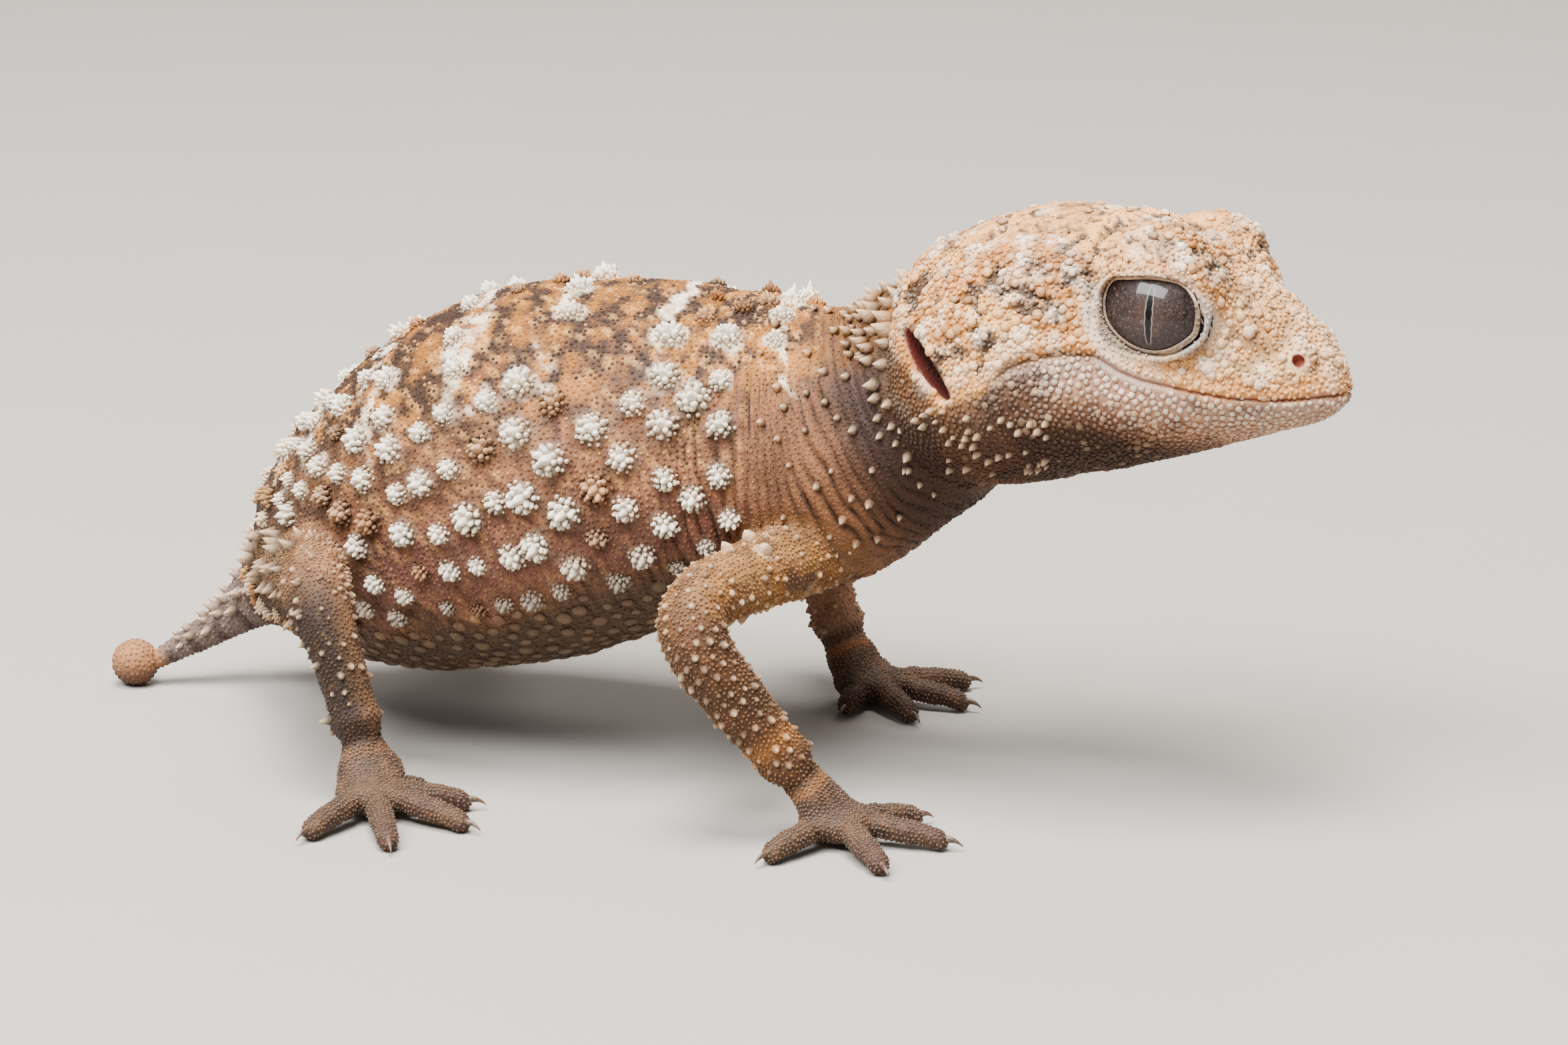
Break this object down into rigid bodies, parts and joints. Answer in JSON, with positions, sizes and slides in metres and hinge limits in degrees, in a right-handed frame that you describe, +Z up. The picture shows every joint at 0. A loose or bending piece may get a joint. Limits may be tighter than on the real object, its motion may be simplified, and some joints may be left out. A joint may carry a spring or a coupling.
{
  "type": "northern knob-tailed gecko figure",
  "caption": "Life-size still model of a stocky spiny gecko standing on bent legs, with a large head raised to one side, a tapering tail and a round knob at its end.",
  "frame": {"origin": "on the floor, under the centre of the model's bounding box", "axes": "+X towards the snout along the body, +Y to the animal's left, +Z up; the palms, soles and the knob's underside rest at z = 0"},
  "size_m": [0.113, 0.0788, 0.0505],
  "materials": {
    "torso_skin": "granular orange-ochre skin with a purple-brown net, white rosettes and a pale belly, satin",
    "tail_skin": "purplish-grey skin with white spines above and dark bands below, satin",
    "tail_knob_skin": "smooth tan skin shading to brown, satin",
    "neck_skin": "finely wrinkled grey-brown skin, satin",
    "head_skin": "dry scaly skin, pale cream with ochre patches and dark crackle lines, satin",
    "eye_left_skin": "wet and glossy, grey-brown veined iris with an upright black slit",
    "eye_right_skin": "wet and glossy, grey-brown veined iris with an upright black slit",
    "upper_arm_right_skin": "granular golden-ochre skin, satin",
    "forearm_right_skin": "granular brown skin with pale tubercles, satin",
    "hand_right_skin": "finely granular grey-beige skin, satin",
    "thigh_right_skin": "granular pinkish-brown skin with white spines, satin",
    "shank_right_skin": "granular grey-brown skin, satin",
    "foot_right_skin": "finely granular grey-beige skin, satin",
    "upper_arm_left_skin": "granular golden-ochre skin, satin",
    "forearm_left_skin": "granular brown skin with pale tubercles, satin",
    "hand_left_skin": "finely granular grey-beige skin, satin",
    "thigh_left_skin": "granular pinkish-brown skin with white spines, satin",
    "shank_left_skin": "granular grey-brown skin, satin",
    "foot_left_skin": "finely granular grey-beige skin, satin"
  },
  "bodies": {
    "root": {"torso": "torso_skin", "tail": "tail_skin", "tail_knob": "tail_knob_skin", "neck": "neck_skin", "head": "head_skin", "eye_left": "eye_left_skin", "eye_right": "eye_right_skin", "upper_arm_right": "upper_arm_right_skin", "forearm_right": "forearm_right_skin", "hand_right": "hand_right_skin", "thigh_right": "thigh_right_skin", "shank_right": "shank_right_skin", "foot_right": "foot_right_skin", "upper_arm_left": "upper_arm_left_skin", "forearm_left": "forearm_left_skin", "hand_left": "hand_left_skin", "thigh_left": "thigh_left_skin", "shank_left": "shank_left_skin", "foot_left": "foot_left_skin"}
  },
  "joints": []
}
